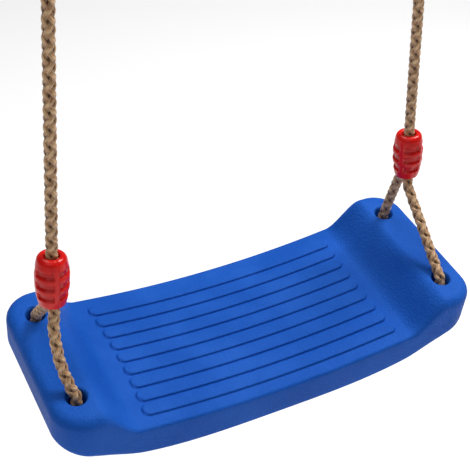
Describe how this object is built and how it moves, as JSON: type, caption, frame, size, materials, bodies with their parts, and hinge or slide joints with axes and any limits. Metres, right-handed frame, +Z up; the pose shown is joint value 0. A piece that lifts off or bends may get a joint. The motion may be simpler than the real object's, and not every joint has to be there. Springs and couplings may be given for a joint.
{
  "type": "swing seat",
  "caption": "Hollow plastic swing seat with a sagging middle and raised ends, on two braided ropes with barrel clamps and hanging rings.",
  "frame": {"origin": "midway between the centres of the two hanging rings, on the line of the beam", "axes": "+X along the beam towards the right rope, +Y to the back, +Z up"},
  "size_m": [0.4469, 0.2153, 0.6249],
  "materials": {
    "seat_plastic": "satin, fine pebbled grain",
    "clamp_plastic": "glossy",
    "rope_fibre": "braided hemp-coloured fibre",
    "sleeve_aluminium": "plain",
    "ring_steel": "zinc plated",
    "thimble_nylon": "moulded nylon"
  },
  "bodies": {
    "rings": {"left_ring": "ring_steel", "right_ring": "ring_steel"},
    "left_eye": {"left_thimble": "thimble_nylon", "left_rope_eye": "rope_fibre", "left_upper_sleeve": "sleeve_aluminium", "left_upper_clamp_inner": "clamp_plastic", "left_upper_clamp_outer": "clamp_plastic"},
    "left_rope": {"left_rope": "rope_fibre"},
    "left_yoke": {"left_lower_sleeve": "sleeve_aluminium", "left_lower_clamp_inner": "clamp_plastic", "left_lower_clamp_outer": "clamp_plastic", "left_rope_legs": "rope_fibre"},
    "right_eye": {"right_thimble": "thimble_nylon", "right_rope_eye": "rope_fibre", "right_upper_sleeve": "sleeve_aluminium", "right_upper_clamp_inner": "clamp_plastic", "right_upper_clamp_outer": "clamp_plastic"},
    "right_rope": {"right_rope": "rope_fibre"},
    "right_yoke": {"right_lower_sleeve": "sleeve_aluminium", "right_lower_clamp_inner": "clamp_plastic", "right_lower_clamp_outer": "clamp_plastic", "right_rope_legs": "rope_fibre"},
    "seat": {"seat_shell": "seat_plastic"}
  },
  "joints": [
    {"name": "swing", "type": "hinge", "parent": "rings", "child": "left_eye", "pos_m": [-0.16669, 0, -0.03], "axis": [1, 0, 0], "range_deg": [-50, 50]},
    {"name": "right_swing", "type": "hinge", "parent": "rings", "child": "right_eye", "pos_m": [0.16669, 0, -0.03], "axis": [1, 0, 0], "range_deg": [-50, 50]},
    {"name": "sway", "type": "hinge", "parent": "left_eye", "child": "left_rope", "pos_m": [-0.17387, 0, -0.13024], "axis": [0, 1, 0], "range_deg": [-12, 12]},
    {"name": "left_level", "type": "hinge", "parent": "left_rope", "child": "left_yoke", "pos_m": [-0.19225, 0, -0.38659], "axis": [0, 1, 0], "range_deg": [-12, 12]},
    {"name": "tilt", "type": "hinge", "parent": "left_yoke", "child": "seat", "pos_m": [0, 0, -0.49597], "axis": [1, 0, 0], "range_deg": [-12, 12], "deforming": ["left_rope_legs"]},
    {"name": "right_tilt", "type": "hinge", "parent": "seat", "child": "right_yoke", "pos_m": [0, 0, -0.49597], "axis": [1, 0, 0], "range_deg": [-12, 12], "deforming": ["right_rope_legs"]},
    {"name": "right_level", "type": "hinge", "parent": "right_yoke", "child": "right_rope", "pos_m": [0.19225, 0, -0.38659], "axis": [0, 1, 0], "range_deg": [-12, 12]}
  ],
  "couplings": [
    {"joint": "right_swing", "follows": "swing", "ratio": 1},
    {"joint": "left_level", "follows": "sway", "ratio": -0.9044},
    {"joint": "right_level", "follows": "sway", "ratio": 0.9044},
    {"joint": "right_tilt", "follows": "tilt", "ratio": -1}
  ]
}
